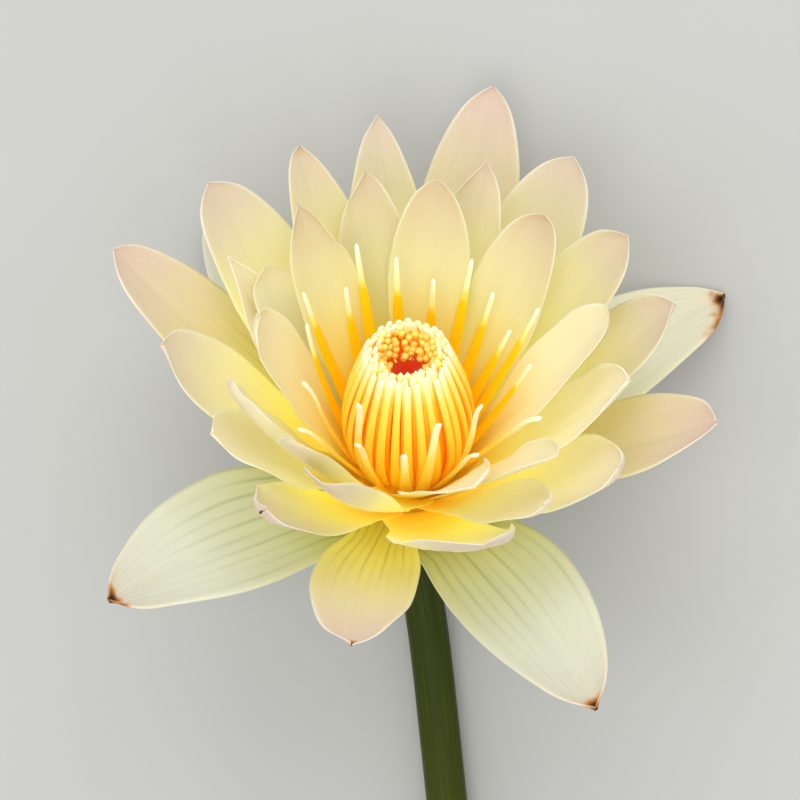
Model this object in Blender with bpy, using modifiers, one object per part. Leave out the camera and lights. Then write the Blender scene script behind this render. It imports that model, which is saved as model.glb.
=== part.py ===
"""Yellow water lily flower, picked, lying on a table on two of its sepals and its own stem.

The bloom is modelled upright about its own axis: four sepals, five whorls of petals, a ring of
loose outer stamens, a dome of packed inner stamens, all seated around a short receptacle.
An empty then leans the whole bloom over until the two lower sepals touch the table, and the stem
is led from under the receptacle down to the table and along it.

Sizes are in millimetres and degrees, and are turned into metres where an object is made.
An azimuth of 90 is the side of the bloom that faces the table.
"""
import math

import bmesh
import bpy
from mathutils import Vector

NAME = "water_lily_flower"
MM = 0.001

# ---- driving dimensions -------------------------------------------------------------------
AXIS_RISE = 50.0          # angle of the bloom's axis above the table
SEAT_GAP = 0.3            # clearance where one piece sits against the next

STEM_RADIUS = 3.8
STEM_REACH = 30.0         # straight run along the table after the bend
STEM_TURN = 16.0          # sideways turn of the stem as it comes down
STEM_TURN_SHARE = 0.35    # share of the bend in which it turns
STEM_POINTS = 20

RECEPTACLE_STEPS = 32
RECEPTACLE_PROFILE = (    # radius, height: stigma dish, rim, stamen seat, then the flank downwards
    (0.0, 11.2), (3.2, 11.5), (5.6, 12.6), (6.3, 12.3), (6.7, 11.0), (9.1, 11.0), (8.9, 10.0),
    (8.8, 7.5), (8.6, 4.0), (8.2, 1.8), (7.0, 0.5), (4.6, 0.0), (0.0, 0.0),
)

DOME_RIBS = 26
DOME_RIB_DEPTH = 0.35
DOME_OUTSIDE = (          # radius, height, from the seat up to the ring of anther tips
    (9.4, 11.4), (10.5, 13.8), (11.4, 16.6), (11.8, 20.0), (11.5, 24.0), (10.6, 28.5),
    (9.1, 33.0), (7.5, 37.0), (6.0, 39.4),
)
DOME_INSIDE = ((4.6, 38.4), (5.6, 33.0), (6.4, 27.0), (6.8, 20.0), (7.0, 11.4))

ACROSS = 4                # faces across a petal
ALONG = 9                 # faces along a petal
STAMEN_ACROSS = 2
STAMEN_ALONG = 6

# Every whorl shares its seat on the receptacle, its cupping, its thickness and its outline.
# The outline starts at "claw" of the full width, is widest at "widest" of the length, and closes
# towards the tip as (1 - t**point)**blunt.
WHORLS = {
    "sepal": dict(seat_radius=8.4, seat_height=0.4, cup=20, thickness=0.9,
                  claw=0.5, widest=0.5, point=2.0, blunt=0.75),
    "petal_outer": dict(seat_radius=9.0, seat_height=1.9, cup=22, thickness=0.7,
                        claw=0.32, widest=0.58, point=2.2, blunt=0.62),
    "petal_second": dict(seat_radius=9.2, seat_height=3.4, cup=24, thickness=0.65,
                         claw=0.3, widest=0.6, point=2.2, blunt=0.62),
    "petal_third": dict(seat_radius=9.4, seat_height=5.0, cup=26, thickness=0.65,
                        claw=0.3, widest=0.6, point=2.2, blunt=0.66),
    "petal_fourth": dict(seat_radius=9.5, seat_height=6.6, cup=28, thickness=0.6,
                         claw=0.3, widest=0.6, point=2.2, blunt=0.66),
    "petal_inner": dict(seat_radius=9.7, seat_height=8.3, cup=26, thickness=0.6,
                        claw=0.24, widest=0.6, point=2.2, blunt=0.66),
    "stamen": dict(seat_radius=9.5, seat_height=9.8, cup=12, thickness=0.6,
                   claw=0.7, widest=0.25, point=2.4, blunt=0.5),
}

# Each row: azimuth, opening from the axis, arch (change of opening from base to tip), length,
# half width, twist, sway of the tip to one side.
BLADES = {
    "sepal": (
        (45, 80, 20, 62, 12.5, 0, 0),
        (135, 80, 20, 62, 12.5, 0, 0),
        (220, 85, 25, 53, 14.5, 5, 3),
        (313, 79, 30, 61, 12.0, 5, -2),
    ),
    "petal_outer": (
        (89, 57, -5, 68, 9.5, -5, 0),
        (170, 53, -10, 61, 10.0, 5, -1),
        (270, 59, 0, 64, 9.5, 5, 5),
        (359, 55, 0, 57, 10.5, 0, -1),
    ),
    "petal_second": (
        (20, 44, -10, 55, 9.5, 0, 0),
        (68, 49, -5, 58, 9.5, 0, 0),
        (109, 48, -5, 59, 8.0, 0, 0),
        (147, 48, -5, 57, 9.5, 0, 0),
        (197, 41, -15, 52, 10.0, -5, 0),
        (249, 46, -5, 54, 8.5, -10, 2),
        (293, 45, -20, 65, 11.0, -5, 3),
        (337, 48, 0, 51, 10.0, 10, -1),
    ),
    "petal_third": (
        (42, 41, -5, 53, 9.5, -5, -1),
        (83, 40, -5, 51, 7.5, -5, 0),
        (128, 40, -5, 56, 7.5, 10, 1),
        (166, 35, -20, 47, 9.0, 15, -1),
        (223, 41, -5, 47, 8.5, -10, 2),
        (263, 37, -15, 55, 8.0, -15, 0),
        (316, 46, 0, 50, 7.0, 10, -1),
        (353, 38, -10, 51, 9.5, 5, 0),
    ),
    "petal_fourth": (
        (11, 32, 0, 50, 9.0, 0, -1),
        (56, 31, -5, 48, 8.5, 0, 0),
        (115, 35, -10, 48, 7.5, -5, 0),
        (159, 34, -15, 41, 6.5, -5, 0),
        (223, 32, -25, 50, 7.0, 0, 0),
        (321, 38, 0, 51, 7.0, 4, 0),
    ),
    "petal_inner": (
        (93, 28, -5, 46, 7.5, 0, 0),
        (143, 26, -5, 47, 7.0, -5, 0),
        (188, 27, -10, 40, 8.0, -5, 0),
        (251, 34, -15, 50, 5.0, 5, -1),
        (298, 39, 8, 42, 8.5, 10, 2),
    ),
    "stamen": (
        (13, 27, -8, 27, 1.0, 0, 0),
        (31, 26, -8, 34, 1.0, 0, 0),
        (44, 27, -8, 25, 1.0, 0, -1),
        (58, 25, -10, 29, 1.0, 0, 0),
        (71, 21, -10, 34, 1.0, 0, 0),
        (88, 17, -18, 29, 1.0, 0, 0),
        (109, 17, -13, 33, 1.0, 0, 0),
        (127, 21, -12, 36, 1.0, 0, 0),
        (140, 17, -20, 30, 1.0, 0, 0),
        (161, 20, -14, 34, 1.0, 0, 1),
        (181, 19, -14, 29, 1.0, 0, -3),
        (208, 18, -20, 27, 1.0, 0, 0),
        (229, 29, -8, 27, 1.0, 0, 0),
        (242, 10, -28, 31, 1.0, 0, 3),
        (253, 21, -12, 25, 1.0, 0, 1),
        (281, 24, -8, 25, 1.0, 0, 0),
        (296, 16, -30, 32, 1.0, 0, 1),
        (316, 28, -8, 25, 1.0, 0, 0),
        (328, 15, -28, 31, 1.0, 0, -1),
        (347, 31, -8, 32, 1.0, 0, -3),
    ),
}

COLOURS = {
    "sepal": (0.62, 0.66, 0.42),
    "petal_outer": (0.80, 0.72, 0.36),
    "petal_second": (0.86, 0.73, 0.33),
    "petal_third": (0.88, 0.74, 0.32),
    "petal_fourth": (0.90, 0.74, 0.28),
    "petal_inner": (0.91, 0.73, 0.24),
    "stamen": (0.95, 0.66, 0.10),
    "dome": (0.95, 0.62, 0.08),
    "receptacle": (0.75, 0.16, 0.02),
    "stem": (0.10, 0.13, 0.02),
}


# ---- helpers ------------------------------------------------------------------------------
def clear_scene():
    for obj in list(bpy.data.objects):
        bpy.data.objects.remove(obj, do_unlink=True)


def material(name, colour, roughness=0.55):
    mat = bpy.data.materials.new(name)
    mat.use_nodes = True
    shader = mat.node_tree.nodes["Principled BSDF"]
    shader.inputs["Base Color"].default_value = (*colour, 1.0)
    shader.inputs["Roughness"].default_value = roughness
    shader.inputs["Metallic"].default_value = 0.0
    return mat


def add_object(name, data, mat, parent=None):
    obj = bpy.data.objects.new(name, data)
    obj.data.materials.append(mat)
    obj.parent = parent
    bpy.data.collections[NAME].objects.link(obj)
    return obj


def finish_mesh(bm, name):
    mesh = bpy.data.meshes.new(name)
    bm.to_mesh(mesh)
    bm.free()
    mesh.shade_smooth()
    mesh.set_sharp_from_angle(angle=math.radians(50))
    return mesh


# ---- petals, sepals and loose stamens: one blade rule --------------------------------------
def outline(u, whorl):
    """Half width at u of the length, as a share of the largest half width."""
    if u < whorl["widest"]:
        rise = math.sin(0.5 * math.pi * u / whorl["widest"]) ** 1.3
        return whorl["claw"] + (1.0 - whorl["claw"]) * rise
    t = (u - whorl["widest"]) / (1.0 - whorl["widest"])
    return max((1.0 - t ** whorl["point"]) ** whorl["blunt"], 0.08)


def blade_midline(u, opening, arch, length, steps=60):
    """Radius and height gained along the midline up to u, and the opening angle there."""
    radius = height = 0.0
    for i in range(steps):
        s = u * (i + 0.5) / steps
        angle = math.radians(opening + arch * (s - 0.5))
        radius += math.sin(angle) * length * u / steps
        height += math.cos(angle) * length * u / steps
    return radius, height, math.radians(opening + arch * (u - 0.5))


def blade_point(u, v, whorl, row):
    """Point of the blade's middle surface, with +X the blade's own direction, in millimetres."""
    azimuth, opening, arch, length, half_width, twist, sway = row
    radius, height, angle = blade_midline(u, opening, arch, length)
    across = Vector((0.0, 1.0, 0.0))
    inward = Vector((-math.cos(angle), 0.0, math.sin(angle)))
    turn = math.radians(twist) * u
    side = across * math.cos(turn) + inward * math.sin(turn)
    face = inward * math.cos(turn) - across * math.sin(turn)
    cup = math.radians(whorl["cup"])
    bow = half_width * outline(u, whorl) / cup
    centre = Vector((whorl["seat_radius"] + radius, sway * u * u, whorl["seat_height"] + height))
    return centre + side * bow * math.sin(cup * v) + face * bow * (1.0 - math.cos(cup * v))


def blade(name, whorl_name, row, parent, mat, across, along):
    whorl = WHORLS[whorl_name]
    bm = bmesh.new()
    bmesh.ops.create_grid(bm, x_segments=across, y_segments=along, size=1.0)
    for vert in bm.verts:
        v = vert.co.x
        u = 1.0 - (0.5 - 0.5 * vert.co.y) ** 1.25
        vert.co = blade_point(u, v, whorl, row) * MM
    obj = add_object(name, finish_mesh(bm, name), mat, parent)
    obj.rotation_euler.z = math.radians(row[0])
    shell = obj.modifiers.new("thickness", "SOLIDIFY")
    shell.thickness = whorl["thickness"] * MM
    shell.offset = 0.0
    return obj


def blades(parent):
    made = []
    for whorl_name, rows in BLADES.items():
        mat = material(whorl_name, COLOURS[whorl_name])
        grid = (STAMEN_ACROSS, STAMEN_ALONG) if whorl_name == "stamen" else (ACROSS, ALONG)
        for number, row in enumerate(rows, start=1):
            made.append(blade(f"{whorl_name}_{number}", whorl_name, row, parent, mat, *grid))
    return made


# ---- receptacle, stamen dome and stem --------------------------------------------------------
def receptacle(parent):
    """Turned body that carries everything, with the stigma dish on top."""
    bm = bmesh.new()
    ring = [bm.verts.new((radius * MM, 0.0, height * MM)) for radius, height in RECEPTACLE_PROFILE]
    for upper, lower in zip(ring, ring[1:]):
        bm.edges.new((upper, lower))
    mat = material("receptacle", COLOURS["receptacle"], roughness=0.35)
    obj = add_object("receptacle", finish_mesh(bm, "receptacle"), mat, parent)
    turn = obj.modifiers.new("turn", "SCREW")
    turn.axis = "Z"
    turn.steps = RECEPTACLE_STEPS
    turn.render_steps = RECEPTACLE_STEPS
    turn.use_merge_vertices = True
    turn.merge_threshold = 0.00001
    return obj


def stamen_dome(parent):
    """The packed inner stamens: a ribbed wall around an open top, seated on the receptacle."""
    bm = bmesh.new()
    section = DOME_OUTSIDE + DOME_INSIDE
    ring = [bm.verts.new((radius * MM, 0.0, height * MM)) for radius, height in section]
    edges = [bm.edges.new((a, b)) for a, b in zip(ring, ring[1:] + ring[:1])]
    bmesh.ops.spin(bm, geom=ring + edges, cent=(0, 0, 0), axis=(0, 0, 1),
                   angle=2.0 * math.pi, steps=2 * DOME_RIBS, use_merge=True)
    bmesh.ops.remove_doubles(bm, verts=bm.verts, dist=0.00001)
    for vert in bm.verts:
        angle = math.atan2(vert.co.y, vert.co.x)
        depth = 0.5 * DOME_RIB_DEPTH * MM * math.cos(DOME_RIBS * angle)
        radius = math.hypot(vert.co.x, vert.co.y)
        grow = (radius + depth) / radius
        vert.co.x *= grow
        vert.co.y *= grow
    bmesh.ops.recalc_face_normals(bm, faces=bm.faces)
    mat = material("stamen_dome", COLOURS["dome"])
    return add_object("stamen_dome", finish_mesh(bm, "stamen_dome"), mat, parent)


def stem_route(start_height):
    """Centre line of the stem: out along the bloom's axis, then down to lie on the table."""
    dips = [math.radians(AXIS_RISE) * (1.0 - fade(i / STEM_POINTS)) for i in range(STEM_POINTS)]
    turned = [min(1.0, i / STEM_POINTS / STEM_TURN_SHARE) for i in range(STEM_POINTS)]
    turns = [math.radians(STEM_TURN) * fade(share) for share in turned]
    drop_share = sum(math.sin(dip) for dip in dips) / STEM_POINTS
    rise = math.radians(AXIS_RISE)
    point = Vector((0.0, 0.0, start_height)) - SEAT_GAP * Vector((0.0, math.cos(rise), math.sin(rise)))
    step = (point.z - STEM_RADIUS) / drop_share / STEM_POINTS
    points = [point.copy()]
    for dip, turn in zip(dips, turns):
        level = math.cos(dip)
        point += step * Vector((math.sin(turn) * level, -math.cos(turn) * level, -math.sin(dip)))
        points.append(point.copy())
    end = math.radians(STEM_TURN)
    points.append(point + STEM_REACH * Vector((math.sin(end), -math.cos(end), 0.0)))
    return points


def fade(t):
    """Smooth step from 0 to 1."""
    return t * t * (3.0 - 2.0 * t)


def stem(start_height):
    curve = bpy.data.curves.new("stem", "CURVE")
    curve.dimensions = "3D"
    curve.bevel_depth = STEM_RADIUS * MM
    curve.bevel_resolution = 6
    curve.use_fill_caps = True
    route = stem_route(start_height)
    spline = curve.splines.new("POLY")
    spline.points.add(len(route) - 1)
    for knot, point in zip(spline.points, route):
        knot.co = (*(point * MM), 1.0)
    spline.use_smooth = True
    return add_object("stem", curve, material("stem", COLOURS["stem"], roughness=0.5))


# ---- placing --------------------------------------------------------------------------------
def box(objects):
    """Lowest and highest corner of the objects' finished meshes, in metres."""
    bpy.context.view_layer.update()
    graph = bpy.context.evaluated_depsgraph_get()
    points = []
    for obj in objects:
        seen = obj.evaluated_get(graph)
        mesh = seen.to_mesh()
        points += [seen.matrix_world @ vert.co for vert in mesh.vertices]
        seen.to_mesh_clear()
    low = Vector([min(point[i] for point in points) for i in range(3)])
    high = Vector([max(point[i] for point in points) for i in range(3)])
    return low, high


def main():
    clear_scene()
    collection = bpy.data.collections.new(NAME)
    bpy.context.scene.collection.children.link(collection)

    bloom = bpy.data.objects.new("bloom_axis", None)
    collection.objects.link(bloom)
    bloom.rotation_euler.x = math.radians(AXIS_RISE - 90.0)
    pieces = blades(bloom)
    pieces += [receptacle(bloom), stamen_dome(bloom)]
    bloom.location.z = -box(pieces)[0].z
    stalk = stem(bloom.location.z / MM)

    low, high = box(pieces + [stalk])
    for mover in (bloom, stalk):
        mover.location.x -= 0.5 * (low.x + high.x)
        mover.location.y -= 0.5 * (low.y + high.y)


main()
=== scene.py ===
# %% [markdown]
# # A yellow water lily, picked and laid on a table
# This file builds the looks of one flower, cell by cell. The measured model comes first: every
# petal, sepal and stamen already has its place there, and each piece made below is laid on it.

# %% Load the measured model
import math

import bmesh
import bpy
import numpy as np
from mathutils import Matrix, Vector


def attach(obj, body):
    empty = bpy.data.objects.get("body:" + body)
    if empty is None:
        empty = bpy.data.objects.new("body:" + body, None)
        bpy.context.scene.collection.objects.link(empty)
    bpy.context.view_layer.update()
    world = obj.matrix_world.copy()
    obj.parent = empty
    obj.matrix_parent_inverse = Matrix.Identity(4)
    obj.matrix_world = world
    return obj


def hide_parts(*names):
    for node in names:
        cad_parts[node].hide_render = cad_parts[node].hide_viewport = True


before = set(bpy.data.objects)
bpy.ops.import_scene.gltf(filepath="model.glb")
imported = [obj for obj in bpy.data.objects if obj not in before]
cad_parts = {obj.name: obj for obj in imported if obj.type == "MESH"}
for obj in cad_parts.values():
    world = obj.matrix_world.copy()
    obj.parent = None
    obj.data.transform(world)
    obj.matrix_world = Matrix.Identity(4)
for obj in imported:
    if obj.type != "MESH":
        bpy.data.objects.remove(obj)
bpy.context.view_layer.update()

MM = 0.001

# %% [markdown]
# A flower is built around one line, the axis that its petals are set around. Here it can be read
# off two turned bodies: the middle of the receptacle and the middle of the dome of stamens both
# lie on it. From then on a place in the bloom is a radius, an azimuth and a height on that line.

# %% Find the axis of the bloom
def own_points(node):
    """The points of a node, each counted once."""
    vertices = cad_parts[node].data.vertices
    return np.array(sorted({tuple(round(c, 7) for c in vert.co) for vert in vertices}))


def unit(vector):
    return vector / np.linalg.norm(vector, axis=-1, keepdims=True)


seat_points = own_points("receptacle")
middle = seat_points.mean(axis=0)
AXIS = unit(own_points("stamen_dome").mean(axis=0) - middle)
FOOT = middle + AXIS * ((seat_points - middle) @ AXIS).min()
SIDE = np.array((1.0, 0.0, 0.0))
FRONT = np.cross(AXIS, SIDE)
print("foot of the bloom in mm:", (FOOT / MM).round(2))
print("its axis rises", round(math.degrees(math.asin(AXIS[2])), 2), "degrees")


def in_bloom(radius, azimuth, height):
    """A point by its radius and height in millimetres and its azimuth in degrees."""
    angle = np.radians(azimuth)
    out = np.multiply.outer(np.cos(angle), SIDE) + np.multiply.outer(np.sin(angle), FRONT)
    return FOOT + MM * (np.asarray(radius)[..., None] * out + np.multiply.outer(height, AXIS))


# %% [markdown]
# The flower lies on the table, so the camera looks down on it, a little from the right, with a
# long lens from about 0.8 m. The bloom's foot is kept a little below the middle of the picture.

# %% Set up the camera
VIEW_LEAN = 8.35          # degrees away from straight above
VIEW_SIDE = 5.0           # heading that it leans to, from +X towards +Y
VIEW_ROLL = 9.9           # degrees that the top of the picture is turned from +Y towards -X
VIEW_DISTANCE = 0.8       # metres from the bloom's foot
LENS = 198.0              # mm
AIM_UP = 16.0 * MM        # where the camera aims, seen from the foot in the picture
AIM_LEFT = 1.45 * MM


def heading(degrees):
    return Vector((math.cos(math.radians(degrees)), math.sin(math.radians(degrees)), 0.0))


lean = math.radians(VIEW_LEAN)
towards = heading(VIEW_SIDE) * math.sin(lean) + Vector((0, 0, math.cos(lean)))
right = heading(90 + VIEW_ROLL).cross(towards).normalized()
upwards = towards.cross(right)
aim = Vector(FOOT) + upwards * AIM_UP - right * AIM_LEFT
place = Vector(FOOT) + towards * VIEW_DISTANCE

bpy.ops.object.camera_add(location=place)
camera = bpy.context.object
back = (place - aim).normalized()
level = upwards.cross(back).normalized()
camera.matrix_world = Matrix((level, back.cross(level), back)).transposed().to_4x4()
camera.location = place
camera.data.lens = LENS
camera.data.clip_start = 0.01
bpy.context.scene.camera = camera
print("camera at", [round(c, 3) for c in camera.location])

# %% [markdown]
# A finish is a small net of shader nodes, as one would wire up by hand in the shader editor.
# Written as sums and products it stays readable, so a class wraps a node's output: an expression
# on two of them adds the Math node that it stands for.

# %% Sums and products of node outputs
def sum_of(operation, swapped=False):
    """A method that adds the Math node of this operation, for one output and another value."""
    def method(self, other=0.0):
        values = (other, self) if swapped else (self, other)
        return self.finish.node("Math", {"operation": operation}, dict(enumerate(values)))
    return method


class Flow:
    """One output of a node, usable in arithmetic."""
    __add__ = __radd__ = sum_of("ADD")
    __mul__ = __rmul__ = sum_of("MULTIPLY")
    __sub__ = sum_of("SUBTRACT")
    __rsub__ = sum_of("SUBTRACT", swapped=True)
    __pow__ = sum_of("POWER")
    cosine = sum_of("COSINE")
    size = sum_of("ABSOLUTE")

    def __init__(self, finish, output):
        self.finish = finish
        self.output = output

    def step(self, low, high):
        """0 below low, 1 above high, smooth between."""
        sockets = {"Value": self, "From Min": low, "From Max": high}
        return self.finish.node("MapRange", {"interpolation_type": "SMOOTHSTEP"}, sockets)


print("outputs can be added, subtracted, multiplied and raised to a power")

# %% [markdown]
# The material itself is a second small class, with a method for each kind of node that a flower
# needs. Colours are given as on a paint chart.

# %% Materials and their colours
class Finish:
    """A material whose nodes are added by their type, settings and sockets."""

    def __init__(self, name, **constants):
        self.material = bpy.data.materials.new(name)
        self.material.use_nodes = True
        self.tree = self.material.node_tree
        self.shader = self.tree.nodes["Principled BSDF"]
        self.put(**constants)

    def node(self, kind, settings, sockets, output=0):
        made = self.tree.nodes.new("ShaderNode" + kind)
        for key, value in settings.items():
            setattr(made, key, value)
        for key, value in sockets.items():
            self.feed(made.inputs[key], value)
        return Flow(self, made.outputs[output])

    def feed(self, socket, value):
        if isinstance(value, Flow):
            self.tree.links.new(value.output, socket)
        else:
            socket.default_value = value

    def put(self, **sockets):
        """Sets or links the shader's own sockets, named with _ for a space."""
        for key, value in sockets.items():
            self.feed(self.shader.inputs[key.replace("_", " ")], value)
        return self.material

    def noise(self, size, detail=2.0, where=None):
        """Noise from 0 to 1 whose blots are about size millimetres."""
        where = where or self.node("TexCoord", {}, {}, output="Object")
        sockets = {"Vector": where, "Scale": 1.0 / (size * MM), "Detail": detail}
        return self.node("TexNoise", {}, sockets)

    def own_map(self):
        """The piece's UV map: the place across or around, and the share of the length."""
        where = self.node("UVMap", {"uv_map": "UVMap"}, {})
        across = self.node("SeparateXYZ", {}, {"Vector": where})
        return across, Flow(self, across.output.node.outputs["Y"])

    def ramp(self, value, stops):
        """Colours along a value: where each stop lies, and its colour on the paint chart."""
        flow = self.node("ValToRGB", {}, {"Fac": value})
        marks = flow.output.node.color_ramp.elements
        marks.remove(marks[-1])
        for index, (position, colour) in enumerate(stops):
            mark = marks.new(position) if index else marks[0]
            mark.position, mark.color = position, paint(*colour)
        return flow

    def mix(self, factor, first, second):
        sockets = {0: factor, 6: first, 7: second}
        return self.node("Mix", {"data_type": "RGBA"}, sockets, output=2)

    def bump(self, height, depth, strength=1.0):
        sockets = {"Height": height, "Distance": depth * MM, "Strength": strength}
        return self.node("Bump", {}, sockets)


def paint(red, green, blue):
    """A colour given as on a paint chart, 0 to 255, turned into the linear values of a shader."""
    chart = (channel / 255.0 for channel in (red, green, blue))
    return (*(c / 12.92 if c <= 0.04045 else ((c + 0.055) / 1.055) ** 2.4 for c in chart), 1.0)


print("finish helpers ready")

# %% [markdown]
# Petals are thin, wet-looking flesh that light goes into and comes out of again. Subsurface
# scattering does that with a scale of under a millimetre, and a faint emission in the petal's own
# colour is painted light that stands for what comes through from behind. The colour runs from gold
# at the claw to a greyish-pink tip with fine veins along it, all read from the UV map. Two
# attributes, painted on the points later, say where a petal is scorched and how much painted light
# makes it paler.

# %% The finish of petals and sepals
SKIN = dict(Subsurface_Weight=0.8, Subsurface_Scale=0.0006, Subsurface_Radius=(1.0, 0.75, 0.45),
            Specular_IOR_Level=0.3, Roughness=0.5)
CLOUD = 9.0                # sizes in mm: slow changes of colour, freckles, scorched blots, cells
FRECKLE = 0.45
BLOT = 1.6
CELL = 0.25
VEINS = 10                 # how many run side by side
VEIN_BEND = 16.0           # mm over which they wander
VEIN_SHARPNESS = 5.0
# painted light: the pale colour that petals standing full in the light are mixed towards
PAINTED_LIGHT_COLOUR = (0.93, 0.86, 0.60, 1.0)


def blade_finish(name, stops, vein, vein_reach, edge, blush, glow=0.0):
    """Colour stops along the blade, vein colour and how far up it shows, margin and blush colours,
    and the strength of the glow that gathers in the lower half of a petal."""
    finish = Finish(name, **SKIN)
    across, along = finish.own_map()
    speckle = finish.noise(FRECKLE, detail=3.0)
    colour = finish.ramp(along + 0.12 * (finish.noise(CLOUD) - 0.5), stops)

    wobble = 1.6 * finish.noise(VEIN_BEND) + across * (2.0 * math.pi * VEINS)
    line = (0.5 + 0.5 * wobble.cosine()) ** VEIN_SHARPNESS
    stretched = finish.node("CombineXYZ", {}, {0: across * 9.0, 1: along * 1.6})
    patchy = finish.noise(1.0 / MM, where=stretched).step(0.34, 0.66)
    shows = line * patchy * (1.0 - along.step(0.1, vein_reach)) * along.step(0.0, 0.12)
    colour = finish.mix(shows * vein[1], colour, vein[0])

    tip = along.step(0.62, 1.0) * speckle.step(0.42, 0.62)
    colour = finish.mix(tip * blush[1], colour, blush[0])
    margin = (2.0 * across - 1.0).size().step(0.86, 1.0) * (0.15 + 0.85 * along.step(0.62, 0.95))
    colour = finish.mix(margin * edge[1], colour, edge[0])

    # painted light: petals that stand full in the light are mixed towards a pale colour
    pale = finish.node("Attribute", {"attribute_name": "painted_light"}, {}, output="Fac")
    colour = finish.mix(pale, colour, PAINTED_LIGHT_COLOUR)
    stain = finish.node("Attribute", {"attribute_name": "stain"}, {}, output="Fac")
    burnt = (stain + 0.35 * (finish.noise(BLOT) - 0.5)).step(0.3, 0.6)
    brown = finish.mix(stain.step(0.45, 0.75), paint(200, 124, 28), paint(36, 22, 16))
    colour = finish.mix(burnt, colour, brown)

    relief = finish.bump(0.6 * line + 0.4 * finish.noise(CELL), 0.05, 0.35)
    if glow:
        # painted light: an emission in the petal's own colour, fading out towards the tip
        shine = finish.mix(along.step(0.2, 0.85) * (1.0 - 0.7 * pale), colour, paint(0, 0, 0))
        finish.put(Emission_Color=shine, Emission_Strength=glow)
    return finish.put(Base_Color=colour, Normal=relief)


print("petals have", VEINS, "veins side by side")

# %% [markdown]
# Every whorl has its own pair of finishes, for the face that looks into the bloom and for the
# back: sepals are pale inside and olive green outside, with clear green veins. The yellow petals
# differ only a little from whorl to whorl, so one function mixes their colours.

# %% Mix the finishes of every whorl
WHITE_EDGE = (paint(254, 244, 232), 0.5)      # a colour and how much of it is mixed in
PINK_BLUSH = (paint(216, 180, 164), 0.35)
GREEN_VEIN = (paint(112, 138, 60), 0.45)
FAINT_VEIN = (paint(240, 204, 100), 0.16)
GOLD = (248, 200, 16)

FINISHES = {
    "sepal": (
        blade_finish("sepal_inside", [
            (0.0, (166, 172, 84)), (0.14, (198, 203, 140)), (0.3, (214, 217, 184)),
            (0.6, (217, 220, 203)), (0.9, (206, 206, 186)), (1.0, (200, 188, 168)),
        ], GREEN_VEIN, 0.85, (paint(238, 222, 204), 0.5), PINK_BLUSH),
        blade_finish("sepal_underside", [
            (0.0, (120, 134, 52)), (0.4, (140, 150, 76)),
            (0.8, (168, 168, 108)), (1.0, (170, 140, 100)),
        ], (paint(96, 60, 40), 0.5), 1.0, (paint(236, 220, 196), 0.8), (paint(120, 70, 60), 0.5)),
    ),
    "petal_outer": (
        blade_finish("petal_outer_inside", [
            (0.0, (214, 206, 66)), (0.3, (232, 224, 132)),
            (0.6, (224, 212, 170)), (0.85, (218, 202, 180)), (1.0, (210, 190, 176)),
        ], (paint(120, 120, 30), 0.5), 0.62, WHITE_EDGE, PINK_BLUSH, 0.06),
        blade_finish("petal_outer_underside", [
            (0.0, (196, 200, 110)), (0.5, (222, 216, 168)), (1.0, (226, 196, 184)),
        ], (paint(170, 170, 96), 0.5), 0.9, WHITE_EDGE, PINK_BLUSH),
    ),
}


def yellow_petal(name, glow, deep, bright, pale, cream, tip):
    """The two finishes of a yellow petal, by its colours from just above the claw to the tip."""
    inside = blade_finish(name + "_inside", [
        (0.0, GOLD), (0.1, deep), (0.27, bright), (0.5, pale), (0.8, cream), (1.0, tip),
    ], FAINT_VEIN, 0.8, WHITE_EDGE, PINK_BLUSH, glow)
    underside = blade_finish(name + "_underside", [
        (0.0, pale), (0.25, (242, 220, 184)), (0.55, (236, 206, 192)),
        (0.85, (224, 190, 180)), (1.0, (208, 174, 166)),
    ], FAINT_VEIN, 0.8, WHITE_EDGE, PINK_BLUSH, glow * 0.5)
    return inside, underside


YELLOWS = {                # glow, then the colours in that order
    "petal_second": (0.25, (246, 223, 77), (246, 235, 121), (235, 229, 171), (218, 209, 179),
                     (205, 191, 177)),
    "petal_third": (0.22, (246, 219, 63), (246, 235, 119), (239, 233, 173), (220, 211, 175),
                    (208, 193, 171)),
    "petal_fourth": (0.07, (241, 214, 60), (232, 226, 130), (223, 220, 168), (216, 206, 168),
                     (204, 190, 160)),
    "petal_inner": (0.07, (241, 212, 56), (232, 224, 124), (223, 220, 166), (216, 206, 166),
                    (204, 190, 158)),
}
for name, colours in YELLOWS.items():
    FINISHES[name] = yellow_petal(name, *colours)
print(len(bpy.data.materials), "finishes so far")

# %% [markdown]
# Each petal of the measured model is a closed slab: two skins joined by a rim. Turned back into
# four-sided faces it is a net in which only the eight corners have three edges. Walking straight
# on from corner to corner reads it off, and half way between the skins is the middle surface.

# %% Read the middle surface of a petal
def straight_on(vert, edge):
    """The edge that leaves a four-way point opposite the one that led to it."""
    beside = set(edge.link_faces)
    return next(e for e in vert.link_edges if e is not edge and not beside & set(e.link_faces))


def walk(start, edge, most=1000):
    """The points passed on the way straight on to the next corner, or at most so many."""
    passed = [start, edge.other_vert(start)]
    while len(passed) < most and len(passed[-1].link_edges) == 4:
        edge = straight_on(passed[-1], edge)
        passed.append(edge.other_vert(passed[-1]))
    return passed


def row_between(first, last, count):
    """The points on the straight way across from one side to the other."""
    ways = (walk(first, edge, count) for edge in first.link_edges)
    return next(way for way in ways if way[-1] is last and len(way) == count)


def quad_net(node):
    """The node's skin as four-sided faces. Where triangles are left, others are paired."""
    for influence in (0.0, 1.0, 2.0):
        net = bmesh.new()
        net.from_mesh(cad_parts[node].data)
        bmesh.ops.remove_doubles(net, verts=net.verts, dist=0.001 * MM)
        bmesh.ops.join_triangles(net, faces=net.faces, angle_face_threshold=math.pi,
                                 angle_shape_threshold=math.pi, topology_influence=influence)
        if all(len(face.verts) == 4 for face in net.faces):
            return net
        net.free()
    raise ValueError(node + " is no net of four-sided faces")


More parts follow.
